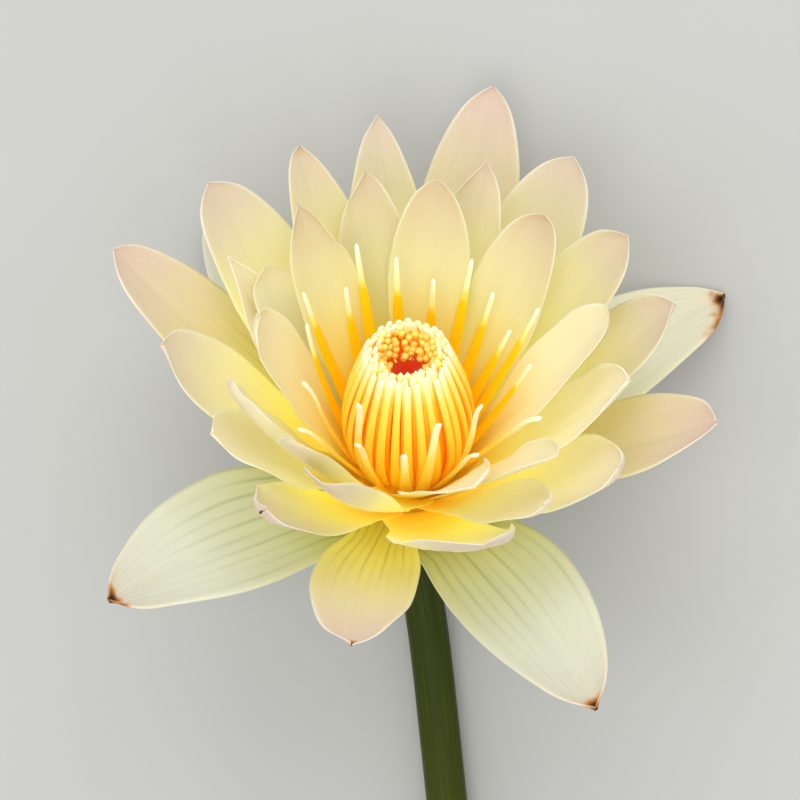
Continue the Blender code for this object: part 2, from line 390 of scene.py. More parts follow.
def middle_surface(node):
    """Rows from claw to tip, each from the left side to the right as seen from inside the bloom."""
    net = quad_net(node)
    corners = [vert for vert in net.verts if len(vert.link_edges) == 3]
    reach = {vert: np.linalg.norm(np.array(vert.co) - FOOT) for vert in corners}
    start = min(corners, key=reach.get)
    through = min((walk(start, edge) for edge in start.link_edges), key=len)
    skins = []
    for corner in through:
        ways = sorted((walk(corner, edge) for edge in corner.link_edges), key=len)
        near = ways[2]
        far = next(way for way in (walk(ways[1][-1], edge) for edge in ways[1][-1].link_edges)
                   if len(way) == len(near))
        skins.append([row_between(a, b, len(ways[1])) for a, b in zip(near, far)])
    places = np.array([[[tuple(v.co) for v in row] for row in skin] for skin in skins]).mean(axis=0)
    net.free()
    outwards = places[len(places) // 2].mean(axis=0) - FOOT
    leftwards = np.cross(AXIS, outwards)
    if (places[2, 0] - places[2, -1]) @ leftwards < 0:
        places = places[:, ::-1]
    return places


def smooth_through(points, spots):
    """A smooth curve through the points, read at shares of the way; works on rows of points too."""
    points = np.asarray(points, float)
    held = np.concatenate([[2 * points[0] - points[1]], points, [2 * points[-1] - points[-2]]])
    t = spots * (len(points) - 1)
    first = np.minimum(t.astype(int), len(points) - 2)
    f = (t - first).reshape((-1,) + (1,) * (points.ndim - 1))
    a, b, c, d = (held[first + i] for i in range(4))
    return 0.5 * (2 * b + (c - a) * f + (2 * a - 5 * b + 4 * c - d) * f**2
                  + (3 * b - a - 3 * c + d) * f**3)


def refined(net, along, across):
    """The net's surface at these shares of the way along and across it."""
    rows = smooth_through(net, along)
    return smooth_through(rows.transpose(1, 0, 2), across).transpose(1, 0, 2)


BLADES = ("petal", "sepal", "stamen_")
blade_nodes = [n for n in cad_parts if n.startswith(BLADES) and n != "stamen_dome"]
nets = {node: middle_surface(node) for node in blade_nodes}
print(len(nets), "nets, rows and columns:", sorted({net.shape[:2] for net in nets.values()}))

# %% [markdown]
# A petal is a curved sheet that gets thin at its margin. So a flat grid is added, its points are
# laid on the petal's surface in code, and a Solidify modifier gives it flesh, thick along the
# middle and thin at the margin, with the second finish on the underside.

# %% Helpers that make and finish a sheet
ROWS = 72
COLUMNS = 36
ROW_SPOTS = 1.0 - (1.0 - np.linspace(0, 1, ROWS)) ** 1.3      # rows lie closer towards the tip
COLUMN_SPOTS = np.linspace(0, 1, COLUMNS)
ROW_LENGTHS = 1.0 - (1.0 - ROW_SPOTS) ** 1.25     # share of the length that each row lies at
ALONG, ACROSS = np.meshgrid(ROW_SPOTS, 2.0 * COLUMN_SPOTS - 1.0, indexing="ij")
MIDDLE = slice(COLUMNS // 2 - 1, COLUMNS // 2 + 1)


def only(*objects):
    """Selects these objects and nothing else; the last one is active."""
    bpy.ops.object.select_all(action="DESELECT")
    for obj in objects:
        obj.select_set(True)
    bpy.context.view_layer.objects.active = objects[-1]


def sheet_of(name, places):
    """A grid primitive whose points are laid on the given rows of places."""
    rows, columns = places.shape[:2]
    bpy.ops.object.select_all(action="DESELECT")
    bpy.ops.mesh.primitive_grid_add(x_subdivisions=columns - 1, y_subdivisions=rows - 1, size=2.0)
    obj = bpy.context.object
    obj.name = obj.data.name = name
    flat = np.array([tuple(vert.co) for vert in obj.data.vertices])
    column = np.rint((flat[:, 0] + 1.0) / 2.0 * (columns - 1)).astype(int)
    row = np.rint((flat[:, 1] + 1.0) / 2.0 * (rows - 1)).astype(int)
    obj.data.vertices.foreach_set("co", places[row, column].ravel())
    corner = np.empty(len(obj.data.loops), dtype=int)
    obj.data.loops.foreach_get("vertex_index", corner)
    spots = np.stack([COLUMN_SPOTS[column[corner]], ROW_SPOTS[row[corner]]], axis=1)
    obj.data.uv_layers["UVMap"].data.foreach_set("uv", spots.ravel())
    return obj, row, column


def finished(obj, node, slot, *materials):
    """Finishes, smooth shading, and the piece's place in the flower."""
    for material in materials:
        obj.data.materials.append(material)
    obj.data.shade_smooth()
    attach(obj, "root")
    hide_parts(*node)
    return obj


print("a petal has", 4 * (ROWS - 1) * (COLUMNS - 1), "triangles and more at its rim")

# %% [markdown]
# By hand one would now sculpt each petal: pull a groove down its middle, wave the margin, roll an
# edge inwards. Here each of those strokes is a function on the rows of points. A roll turns the
# margin's short steps more and more about the line of the petal, so no length is lost.

# %% Strokes that shape a sheet
def inward(places):
    """The direction that the inner face looks to, at every point."""
    along = np.gradient(places, axis=0)
    across = np.gradient(places, axis=1)
    return unit(np.cross(across, along))


def rise(value, low, high):
    """0 below low, 1 above high, smooth between."""
    t = np.clip((value - low) / (high - low), 0.0, 1.0)
    return t * t * (3.0 - 2.0 * t)


def pushed(places, depth):
    """Moves every point inwards by its depth, in millimetres."""
    return places + inward(places) * (depth * MM)[..., None]


def widened(places, scale):
    """Scales every row about its own middle."""
    middle = places[:, MIDDLE].mean(axis=1, keepdims=True)
    return middle + (places - middle) * scale[..., None]


def turned(vector, axis, angle):
    """A vector turned about an axis, for rows of vectors with an angle each."""
    c, s = np.cos(angle)[..., None], np.sin(angle)[..., None]
    along = (vector * axis).sum(-1, keepdims=True) * axis
    return vector * c + np.cross(axis, vector) * s + along * (1.0 - c)


def bent(places, first, hinge, angle):
    """Turns the steps beyond the first row about a hinge, by an angle each, and sets them one on
    another again."""
    steps = np.diff(places[first:], axis=0)
    steps = turned(steps, np.broadcast_to(hinge, steps.shape), angle)
    out = places.copy()
    out[first + 1:] = places[first] + steps.cumsum(axis=0)
    return out


def rolled(places, side, start, low, high, turn):
    """Rolls the margin of one side (-1 left, 1 right) inwards between two shares of the length.
    It starts at that share of the half width, and the edge itself is turned by turn degrees."""
    columns = places[:, ::side].transpose(1, 0, 2)
    first = int((0.5 + 0.5 * start) * (COLUMNS - 1))
    strength = rise(ROW_SPOTS, low, low + 0.35 * (high - low))
    strength *= 1.0 - rise(ROW_SPOTS, high - 0.25 * (high - low), high)
    lengthwise = unit(np.gradient(columns[first], axis=0))
    lengths = np.linalg.norm(np.diff(columns[first:], axis=0), axis=-1).cumsum(axis=0)
    angle = math.radians(turn) * strength * lengths / lengths[-1]
    return bent(columns, first, -side * lengthwise, angle).transpose(1, 0, 2)[:, ::side]


def hooded(places, start, turn):
    """Bends the tip inwards by turn degrees, from that share of the length."""
    first = int(np.searchsorted(ROW_SPOTS, start))
    angle = math.radians(turn) * rise(ROW_SPOTS[first + 1:], start, 1.0)
    sideways = unit(np.gradient(places, axis=1)[first, COLUMNS // 2])
    return bent(places, first, sideways, np.repeat(angle[:, None], COLUMNS, axis=1))


print("strokes ready")

# %% [markdown]
# Every petal gets the strokes of its whorl: a groove along the middle, low pleats between the
# veins, a waving margin, and sides that close like the bow of a boat at the tip. A seeded random
# generator varies them a little from petal to petal. Some petals have strokes of their own.

# %% The strokes of every whorl
# In mm: thickness, groove, pleats, wave of the margin, prow at the tip, and how far the claw runs
# on into the receptacle. Then the outline of the tip: where along it is widest, how full and how
# blunt it is. Last, how much wider the claw spreads where it sits.
WHORLS = {
    "sepal": (0.80, 0.30, 0.10, 0.25, 0.9, 1.8, (0.45, 2.0, 0.64), 0.7),
    "petal_outer": (0.40, 0.30, 0.07, 0.30, 0.3, 0.8, (0.58, 2.2, 0.6), 0.7),
    "petal_second": (0.34, 0.22, 0.05, 0.35, 0.3, 0.6, (0.6, 2.3, 0.57), 0.8),
    "petal_third": (0.32, 0.20, 0.05, 0.35, 0.3, 0.6, (0.6, 2.4, 0.54), 0.9),
    "petal_fourth": (0.30, 0.18, 0.04, 0.30, 0.3, 0.4, (0.6, 2.3, 0.58), 1.1),
    "petal_inner": (0.30, 0.15, 0.04, 0.28, 0.3, 0.4, (0.6, 2.3, 0.58), 1.5),
}
GROOVE_WIDTH = 0.13       # share of the half width
PLEATS = 6.5
SMALLEST_TIP = 0.035      # share of the widest half width
THIN_MARGIN = 0.35        # share of the thickness left at the margin
CLAW_REACH = 0.22         # share of the length over which the claw spreads
print(len(WHORLS), "whorls")

# %% [markdown]
# No two petals of a real flower are alike. These have a narrower tip, a rolled margin, a hooded
# tip or a scorched place of their own, each of which would be a stroke of a sculpt brush by hand.
# Those that stand full in the light are painted paler: painted light. A place along runs from 0 at
# the claw to 1 at the tip.

# %% Strokes for single petals
POINTED = {               # tips that aren't their whorl's: widest place along, full, blunt
    "petal_outer_4": (0.56, 2.2, 0.5),
    "petal_second_3": (0.54, 1.8, 0.76), "petal_third_3": (0.56, 1.9, 0.72),
    "petal_third_4": (0.45, 1.8, 0.85), "petal_third_2": (0.55, 2.0, 0.7),
    "petal_fourth_3": (0.55, 2.0, 0.75), "petal_inner_2": (0.55, 2.0, 0.75),
}
ROLLS = {                 # side, start across, from and to along, turn of the edge
    "petal_third_4": [(1, 0.3, 0.35, 1.3, 80)], "petal_inner_2": [(1, 0.75, 0.6, 1.2, 110)],
    "petal_fourth_5": [(-1, 0.58, 0.3, 1.12, 70)], "petal_inner_4": [(-1, 0.55, 0.3, 1.2, 60)],
    "petal_third_6": [(-1, 0.4, 0.25, 1.2, 95)], "petal_second_7": [(-1, 0.76, 0.45, 1.12, 75)],
    "petal_third_7": [(-1, 0.72, 0.45, 1.3, 100)], "petal_second_8": [(-1, 0.8, 0.5, 1.3, 90)],
    "petal_third_8": [(-1, 0.8, 0.6, 1.3, 80)], "petal_second_6": [(1, 0.75, 0.6, 1.3, 80)],
    "petal_third_2": [(-1, 0.8, 0.75, 1.3, 110)], "petal_fourth_3": [(-1, 0.8, 0.75, 1.3, 110)],
    "petal_fourth_6": [(-1, 0.7, 0.3, 1.3, 60)], "petal_inner_5": [(-1, 0.7, 0.3, 1.3, 70)],
    "petal_inner_3": [(1, 0.7, 0.8, 1.3, 100), (-1, 0.7, 0.8, 1.3, 100)],
}
SHIFTS = {"petal_third_6": (3.2, 2.6)}      # the claw moved sideways and up the axis, in mm
HOODS = {                 # start along, turn of the tip
    "petal_third_7": (0.88, 40), "petal_second_8": (0.88, 50), "petal_second_6": (0.88, 50),
    "petal_fourth_4": (0.8, 45), "petal_inner_3": (0.88, 70), "petal_fourth_5": (0.9, 40),
    "petal_fourth_2": (0.93, 60), "petal_fourth_1": (0.9, 50), "petal_third_3": (0.92, 60),
}
STAINS = {                # scorched places: along, across, reach, narrowness across, depth
    "sepal_1": [(1, 0.3, 0.15, 0.07, 1), (0.96, 1, 0.24, 0.16, 0.72), (0.86, 1, 0.2, 0.3, 0.62)],
    "sepal_3": [(1, 0, 0.12, 0.05, 1), (0.95, -1, 0.14, 0.2, 0.62)],
    "sepal_4": [(1, 0, 0.11, 0.05, 1)], "petal_second_6": [(0.97, 0.3, 0.07, 0.3, 1)],
    "petal_outer_3": [(1, 0, 0.1, 0.1, 0.9)], "petal_outer_2": [(0.55, -0.55, 0.014, 0.3, 1)],
}
# painted light: how much paler each petal is painted for standing full in the light
PAINTED_LIGHT = {                 # petals that stand full in the light, 0 to 1
    "petal_third_8": 0.5, "petal_fourth_6": 0.7, "petal_inner_5": 0.7, "petal_second_8": 0.3,
    "petal_fourth_1": 0.55, "petal_third_7": 0.45, "petal_third_5": 0.5, "petal_inner_3": 0.4,
    "petal_second_5": 0.1, "petal_inner_4": 0.3, "petal_second_7": 0.1, "petal_third_4": 0.55,
    "petal_fourth_4": 0.75, "petal_fourth_5": 0.4, "sepal_1": 0.35,
}
print(len(ROLLS), "petals with rolled margins,", len(HOODS), "with hooded tips")

# %% [markdown]
# Now every blade is shaped, laid out as a sheet, painted with its stains and given flesh. The
# vertex group says how full the flesh is: most along the middle, least at the margin and tip.

# %% Shape and place the petals and sepals
def tapered(places, widest, point, blunt):
    """Redraws the outline beyond the widest place as (1 - t**point)**blunt, down to a small tip."""
    half = np.linalg.norm(places[:, -1] - places[:, 0], axis=-1) / 2.0
    t = np.clip((ROW_LENGTHS - widest) / (1.0 - widest), 0.0, 1.0)
    wanted = half.max() * np.maximum((1.0 - t**point) ** blunt, SMALLEST_TIP)
    scale = np.where(t > 0.3, wanted / half, np.minimum(wanted / half, 1.0))
    return widened(places, scale[:, None])


def shaped(node, whorl, seed):
    """The rows of places of a petal, with the strokes of its whorl and its own."""
    _, groove, pleat, wave, prow, root, outline, flare = WHORLS[whorl]
    draw = np.random.default_rng(seed)
    places = refined(nets[node], ROW_SPOTS, COLUMN_SPOTS)
    places = tapered(places, *POINTED.get(node, outline))
    free = rise(ALONG, 0.12, 0.4)
    depth = -groove * np.exp(-(ACROSS / GROOVE_WIDTH) ** 2) * free * (1.0 - rise(ALONG, 0.75, 1.0))
    pleats = np.cos(2.0 * math.pi * PLEATS * ACROSS)
    depth += pleat * pleats * free * (1.0 - rise(ALONG, 0.8, 1.0))
    for side in (-1, 1):
        beat, phase = draw.uniform(1.6, 3.2), draw.uniform(0, 2 * math.pi)
        waving = np.sin(2.0 * math.pi * beat * ALONG + phase)
        depth += wave * waving * np.abs(ACROSS) ** 3 * free * (np.sign(ACROSS) == side)
    depth += prow * ACROSS**2 * rise(ALONG, 0.82, 1.0)
    places = pushed(places, depth)
    places = widened(places, 1.0 + flare * (1.0 - rise(ALONG, 0.0, CLAW_REACH)))
    base = places[0].mean(axis=0) - FOOT
    outwards = unit(base - (base @ AXIS) * AXIS)
    places -= (1.0 - rise(ALONG, 0.0, 0.15))[..., None] * MM * root * outwards
    if node in SHIFTS:
        sideways, up = SHIFTS[node]
        places += (1.0 - rise(ALONG, 0.0, 0.5))[..., None] * MM * (sideways * SIDE + up * AXIS)
    for stroke in ROLLS.get(node, ()):
        places = rolled(places, *stroke)
    return hooded(places, *HOODS[node]) if node in HOODS else places


def painted(obj, name, amount):
    """Keeps an amount from 0 to 1 on every point, for the finish to read."""
    spots = obj.data.attributes.new(name, "FLOAT", "POINT")
    spots.data.foreach_set("value", np.clip(amount, 0, 1).astype(np.float32))


def petal(node, whorl, seed):
    """One petal or sepal, laid on its net."""
    obj, row, column = sheet_of("lily_" + node, shaped(node, whorl, seed))
    flesh = obj.vertex_groups.new(name="flesh")
    fullness = (1.0 - np.abs(ACROSS) ** 4) * (1.0 - 0.6 * rise(ALONG, 0.8, 1.0))
    for index, full in enumerate(fullness[row, column]):
        flesh.add([index], float(full), "REPLACE")
    stain = np.zeros(ALONG.shape)
    for along, across, reach, narrow, deep in STAINS.get(node, ()):
        apart = np.hypot(ALONG - along, narrow * (ACROSS - across))
        stain = np.maximum(stain, deep * (1.0 - apart / reach))
    painted(obj, "stain", stain[row, column])
    # painted light: the paleness of a petal in full light, rising from the claw
    painted(obj, "painted_light", (PAINTED_LIGHT.get(node, 0.0) * rise(ALONG, 0.05, 0.42))[row, column])
    solid = obj.modifiers.new("flesh", "SOLIDIFY")
    solid.thickness, solid.offset = WHORLS[whorl][0] * MM, 0.0
    solid.vertex_group, solid.thickness_vertex_group = "flesh", THIN_MARGIN
    solid.material_offset, solid.material_offset_rim = 1, 0
    only(obj)
    bpy.ops.object.modifier_apply(modifier=solid.name)
    return finished(obj, [node], whorl, *FINISHES[whorl])


petals = []
for number, node in enumerate(n for n in blade_nodes if not n.startswith("stamen")):
    petals.append(petal(node, node.rsplit("_", 1)[0], seed=number))
print(len(petals), "petals and sepals,", sum(len(p.data.polygons) for p in petals), "faces")

# %% [markdown]
# A stamen of a water lily is a soft strap with rounded edges and ends. A ball drawn out along a
# line gives just that: the rings of a UV sphere are set one after another along the stamen's
# middle line, each stretched to its width and thickness, and both poles stay closed.

# %% Draw a ball out into a stamen
STRAP_SIDES = 10
STRAP_RINGS = 26
FIRST_STRETCH = 0.03       # share of the length over which the lower end is rounded


def template(sides, rings):
    """A UV sphere whose mesh is copied for every strap, and where its points lie on it."""
    bpy.ops.object.select_all(action="DESELECT")
    bpy.ops.mesh.primitive_uv_sphere_add(segments=sides, ring_count=rings, radius=1.0)
    ball = bpy.context.object
    mesh = ball.data.copy()
    bpy.data.objects.remove(ball)
    points = np.array([tuple(vert.co) for vert in mesh.vertices])
    share = 1.0 - np.arccos(np.clip(points[:, 2], -1, 1)) / math.pi
    around = np.arctan2(points[:, 1], points[:, 0])
    return mesh, share, around


def laid_out(name, source, places):
    """A copy of the ball's mesh with its points on these places."""
    mesh = source[0].copy()
    mesh.name = name
    mesh.vertices.foreach_set("co", places.ravel())
    obj = bpy.data.objects.new(name, mesh)
    bpy.context.scene.collection.objects.link(obj)
    return obj


def read_along(spots, steps, rows):
    """Rows of numbers that are known at steps, read at the spots between them."""
    return np.stack([np.interp(spots, steps, column) for column in rows.T], axis=1)


STRAP = template(STRAP_SIDES, STRAP_RINGS)


def rounded_end(share, last):
    """1 along the strap, falling to 0 in a quarter circle over the first and last stretch."""
    opening = np.clip(share / FIRST_STRETCH, 0, 1)
    closing = np.clip((1.0 - share) / last, 0, 1)
    return np.sqrt(1 - (1 - opening) ** 2) * np.sqrt(1 - (1 - closing) ** 2)


def drawn_out(name, source, line, sideways, half_width, half_depth, last=0.05):
    """A copy of the ball's mesh along a line: places, side directions, and half sizes in metres,
    each read at even steps from one end to the other."""
    _, share, around = source
    steps = np.linspace(0, 1, len(line))
    eased = share - 0.06 * np.sin(2 * math.pi * share) / (2 * math.pi)
    centre = read_along(eased, steps, line)
    tangent = unit(read_along(eased, steps, np.gradient(line, axis=0)))
    side = read_along(eased, steps, sideways)
    side = unit(side - (side * tangent).sum(-1, keepdims=True) * tangent)
    face = np.cross(tangent, side)
    closed = rounded_end(eased, last=last)
    wide = np.interp(eased, steps, half_width) * closed * np.cos(around)
    deep = np.interp(eased, steps, half_depth) * closed * np.sin(around)
    return laid_out(name, source, centre + side * wide[:, None] + face * deep[:, None])


print("a strap has", 2 * STRAP_SIDES * (STRAP_RINGS - 1), "triangles")

# %% [markdown]
# The stamens are golden orange below and pass into a cream, waxy anther in their upper part. Their
# edges in the lower part carry painted shade, darker where a rounded strap turns from the light, so
# the place around the strap, the U of its UV map, picks between the colour of the face and a deeper
# orange. A faint emission in the stamen's own colour is painted light that lifts the shade between
# them.

# %% The finish of stamens
WAX = dict(Subsurface_Weight=0.7, Subsurface_Scale=0.0005, Subsurface_Radius=(1.0, 0.6, 0.25),
           Specular_IOR_Level=0.35, Roughness=0.42)


def stamen_finish(name, stops, edge, edge_shade_share, glow):
    """Colour stops along the strap, painted edge shade and how much of it, and painted glow."""
    finish = Finish(name, **WAX)
    around, along = finish.own_map()
    colour = finish.ramp(along + 0.14 * (finish.noise(2.5) - 0.5), stops)
    face = (2.0 * math.pi * (around - 0.75)).cosine().size().step(0.0, 0.7)
    # painted shade: the edges of the lower strap are mixed towards a deeper orange
    colour = finish.mix((1.0 - face) * (1.0 - along.step(0.5, 0.8)) * edge_shade_share, colour, edge)
    relief = finish.bump(finish.noise(0.35), 0.04, 0.3)
    # painted light: an emission in the stamen's own colour
    return finish.put(Base_Color=colour, Normal=relief,
                      Emission_Color=colour, Emission_Strength=glow)


LOOSE_FAR = stamen_finish("far_stamen", [
    (0.0, (255, 204, 20)), (0.3, (255, 198, 8)), (0.64, (255, 200, 10)),
    (0.69, (254, 224, 100)), (0.75, (252, 236, 176)), (1.0, (252, 244, 226)),
], paint(252, 184, 0), 0.35, 0.12)
LOOSE_NEAR = stamen_finish("near_stamen", [
    (0.0, (255, 202, 24)), (0.25, (255, 214, 60)), (0.5, (255, 228, 116)),
    (0.66, (253, 238, 178)), (0.8, (252, 242, 208)), (1.0, (252, 244, 222)),
], paint(250, 196, 40), 0.4, 0.12)
CROWN = stamen_finish("crown_stamen", [
    (0.0, (255, 190, 10)), (0.25, (255, 206, 34)), (0.45, (255, 216, 66)),
    (0.6, (255, 220, 80)), (0.74, (254, 228, 112)), (0.86, (252, 238, 174)),
    (1.0, (251, 245, 220)),
], paint(252, 156, 6), 0.7, 0.12)
# painted shade: a deeper orange copy of the crown finish, for the rings behind the first
CROWN_SHADED = stamen_finish("shaded_inner_crown_stamen", [
    (0.0, (250, 136, 0)), (0.5, (254, 160, 6)), (0.7, (255, 190, 40)),
    (0.82, (253, 222, 110)), (0.9, (252, 238, 166)), (1.0, (250, 242, 208)),
], paint(246, 120, 0), 0.7, 0.14)
# anther tips: orange at the foot, own colour and painted shade between tips; pale yellow on top
UPPER_LIT_BEAD = stamen_finish("pale_anther_tip", [
    (0.0, (246, 150, 0)), (0.5, (250, 184, 30)), (0.7, (250, 206, 74)),
    (0.86, (252, 224, 108)), (1.0, (253, 234, 146)),
], paint(250, 190, 60), 0.3, 0.06)
# painted shade: a deeper orange copy for the rows deep in the funnel
BEAD = stamen_finish("anther_tip", [
    (0.0, (240, 120, 0)), (0.5, (250, 160, 10)), (0.7, (253, 196, 50)),
    (0.86, (254, 222, 104)), (1.0, (254, 232, 140)),
], paint(250, 190, 60), 0.2, 0.08)
print("stamen finishes ready")

# %% [markdown]
# Twenty stamens stand loose between the dome and the petals. Each follows the middle line of its
# measured net. Those on the near side hook outwards at the tip, which turns the last steps of the
# line about the strap's width.

# %% Place the loose stamens
NEAR_SHAPE = (             # share of the length, half width in mm
    (0.0, 1.35), (0.15, 1.2), (0.4, 0.88), (0.7, 0.72), (1.0, 0.60),
)
FAR_SHAPE = (
    (0.0, 1.7), (0.2, 1.35), (0.45, 1.1), (0.62, 0.95), (0.68, 0.62), (0.85, 0.5), (1.0, 0.4),
)
LOOSE_DEPTH = 0.34         # half thickness, mm
LOOSE_STEPS = 60
NEAR_SIDE = (190.0, 350.0) # azimuths between which a stamen hooks outwards
HOOK_START = 0.62
FRONT_AZIMUTH = 281.0      # the stamen that stands here hardly hooks
HOOK_TURN = 30.0           # degrees


def azimuth_of(place):
    out = place - FOOT
    return math.degrees(math.atan2(out @ FRONT, out @ SIDE)) % 360.0


def hooked(line, sideways, turn):
    """The line with its tip turned outwards by so many degrees."""
    first = int(HOOK_START * (len(line) - 1))
    angle = math.radians(turn) * np.linspace(0, 1, len(line) - first - 1) ** 1.5
    return bent(line, first, -unit(sideways[first]), angle)


def loose_stamen(node):
    steps = np.linspace(0, 1, LOOSE_STEPS)
    net = refined(nets[node], steps, np.linspace(0, 1, 3))
    sideways = net[:, 2] - net[:, 0]
    azimuth = azimuth_of(net[50, 1])
    near = NEAR_SIDE[0] < azimuth < NEAR_SIDE[1]
    turn = HOOK_TURN * (1.0 - 0.8 * math.exp(-((azimuth - FRONT_AZIMUTH) / 12.0) ** 2))
    line = hooked(net[:, 1], sideways, turn) if near else net[:, 1]
    wide = np.interp(steps, *zip(*(NEAR_SHAPE if near else FAR_SHAPE))) * MM
    deep = np.full(LOOSE_STEPS, LOOSE_DEPTH * MM)
    obj = drawn_out("lily_" + node, STRAP, line, sideways, wide, deep)
    return finished(obj, [node], "stamen", LOOSE_NEAR if near else LOOSE_FAR)


loose = [loose_stamen(n) for n in blade_nodes if n.startswith("stamen_")]
print(len(loose), "loose stamens")

# %% [markdown]
# The imported inner stamens stand in rings like staves of a barrel. One stave is drawn out along
# the barrel's outline and repeated round the axis, each ring half a step on from the last, a
# little further in and with tips that end higher. At the back they stand up in points. The rings
# behind the first take a deeper orange copy of the crown finish: painted shade for the gaps
# between the front staves.

# %% Build the dome of packed stamens
STAVES = 28
BARREL = ((9.3, 11.2), (10.5, 13.4), (11.4, 16.4), (11.7, 20.0), (11.3, 24.0), (10.3, 28.5),
          (9.0, 32.6), (8.0, 35.5), (7.25, 37.7))
STAVE_SHAPE = (            # share of the height, width as a share of the room there is
    (0.0, 0.95), (0.08, 1.08), (0.2, 0.96), (0.36, 0.72), (0.7, 0.66), (0.88, 0.74), (1.0, 0.7),
)
RINGS = (                  # inset, share of the outline that it reaches, seed, finish
    (0.2, 0.965, 1, CROWN),
    (0.95, 0.995, 2, CROWN_SHADED),
    (1.7, 1.02, 3, CROWN_SHADED),
)
BACK_AZIMUTH = 90.0
BACK_RISE = 0.065          # how much further the tips reach at the back
STAVE_STEPS = 60
STAVE_DEPTH = ((0.0, 0.62), (0.2, 0.48), (0.8, 0.45), (1.0, 0.4))     # half of it, in mm
SLIMMEST = 0.62            # half width in mm


def round_the_axis(azimuth, count):
    """The direction round the axis at this azimuth, once for each step of a line."""
    return np.repeat(in_bloom([1.0], [azimuth + 90.0], [0.0]) - FOOT, count, axis=0)


def joined(name, pieces):
    """Joins the pieces into one of that name."""
    only(*pieces)
    bpy.ops.object.join()
    whole = bpy.context.object
    whole.name = whole.data.name = name
    return whole


def stave(name, azimuth, inset, reach, draw):
    """One stave of the barrel, up to a share of its outline, which may run on straight."""
    steps = np.linspace(0, 1, STAVE_STEPS)
    outline = smooth_through(np.array(BARREL), steps)
    beyond = outline[-1] + (outline[-1] - outline[-2]) * 12
    spots = np.append(steps, 1.0 + 12 / (STAVE_STEPS - 1))
    outline = read_along(steps * reach, spots, np.vstack([outline, beyond]))
    lean = draw.normal(0, 1.0) * steps**2
    radius = outline[:, 0] - inset + draw.normal(0, 0.12) * steps
    line = in_bloom(radius, azimuth + lean, outline[:, 1])
    sideways = round_the_axis(azimuth, STAVE_STEPS)
    room = math.pi * radius / STAVES * MM
    wide = room * np.interp(steps, *zip(*STAVE_SHAPE)) * (1.0 + draw.uniform(-0.16, 0.1) * steps)
    wide = np.maximum(wide, SLIMMEST * MM)
    deep = np.interp(steps, *zip(*STAVE_DEPTH)) * MM
    return drawn_out(name, STRAP, line, sideways, wide, deep, last=0.07)


crown = []
for number, (inset, reach, seed, flesh) in enumerate(RINGS):
    draw = np.random.default_rng(seed)
    staves = []
    for index in range(STAVES):
        azimuth = 360.0 * (index + 0.5 * (number % 2)) / STAVES + draw.normal(0, 1.3)
        behind = max(0.0, math.cos(math.radians(azimuth - BACK_AZIMUTH)))
        ending = reach + draw.uniform(-0.035, 0.028) + BACK_RISE * behind
        staves.append(stave(f"stave_{number}_{index}", azimuth, inset, ending, draw))
    ring = joined(f"stamen_ring_{number + 1}", staves)
    crown.append(finished(ring, ["stamen_dome"], "stamen", flesh))
print(len(crown), "rings of", STAVES, "stamens")

# %% [markdown]
# Inside the rim the innermost stamens show only their anther tips, packed like beads down a
# funnel. A bead is a short stave: the same ball, drawn out along a millimetre or two. The rows
# deeper in the funnel take a deeper orange finish than the upper ones: painted shade.

# %% Line the opening with anther tips
BEADS = template(8, 7)
FUNNEL = (                 # radius and height of each row of tips, and how many it has
    (5.5, 37.1, 23), (5.15, 36.1, 21), (4.75, 35.1, 20), (4.35, 34.1, 18), (3.95, 33.1, 16),
    (3.5, 32.2, 14),
)
BEAD_HALF = 0.74           # half width and length in mm
BEAD_LENGTH = 2.4
BEAD_STEPS = 20
# painted shade: rows below these, deeper in the funnel, get the deeper orange finish
UPPER_LIT_ROWS = 3              # the upper rows are paler
draw = np.random.default_rng(11)
tips = {UPPER_LIT_BEAD: [], BEAD: []}
for row, (radius, height, count) in enumerate(FUNNEL):
    for index in range(count):
        azimuth = 360.0 * (index + 0.5 * (row % 2)) / count + draw.normal(0, 2.8)
        top = height + draw.normal(0, 0.42)
        out = radius + draw.normal(0, 0.2)
        left_over = 1 - np.linspace(0, 1, BEAD_STEPS)
        line = in_bloom(out + 0.9 * left_over**2, np.full(BEAD_STEPS, azimuth),
                        top - BEAD_LENGTH * left_over)
        half = np.full(BEAD_STEPS, BEAD_HALF * MM * draw.uniform(0.82, 1.14))
        tip = drawn_out(f"tip_{row}_{index}", BEADS, line, round_the_axis(azimuth, BEAD_STEPS),
                        half, half, last=0.25)
        tips[UPPER_LIT_BEAD if row < UPPER_LIT_ROWS else BEAD].append(tip)
for name, (flesh, group) in zip(("upper_anther_tips", "lower_anther_tips"), tips.items()):
    finished(joined(name, group), ["stamen_dome"], "stamen", flesh)
    print(len(group), "tips in", name)

# %% [markdown]
# Below the tips a small glossy dish, red-orange and faintly rayed, closes the funnel: it is painted
# shade, a dark sheet standing for the shadowy red-orange depth of the hole. The receptacle that
# carries the bloom is golden where the stamens sit and olive below. Both take a faint emission in
# their own colour, which is painted light. Both are a ball again, whose rings are laid along an
# outline turned round the bloom's axis, with its poles closed.

# %% Turn the throat and the receptacle
THROAT_SHADE = ((0.0, 30.4), (1.8, 30.4), (3.9, 30.9), (5.2, 32.4), (6.0, 34.6), (6.3, 36.4), (6.0, 36.6),
          (5.4, 34.8), (4.6, 32.9), (3.6, 31.8), (2.4, 31.3), (1.2, 31.1), (0.0, 31.0))
SEAT = ((0.0, 0.3), (2.6, 0.1), (4.6, 0.0), (6.6, 0.35), (8.1, 1.4), (8.9, 3.2), (9.3, 6.0),
        (9.5, 9.0), (9.3, 10.5), (8.3, 11.0), (6.9, 11.1), (6.4, 11.6), (6.2, 12.2), (5.6, 12.5),
        (4.6, 12.2), (3.2, 11.6), (1.6, 11.3), (0.0, 11.2))
TURNED = template(96, 60)


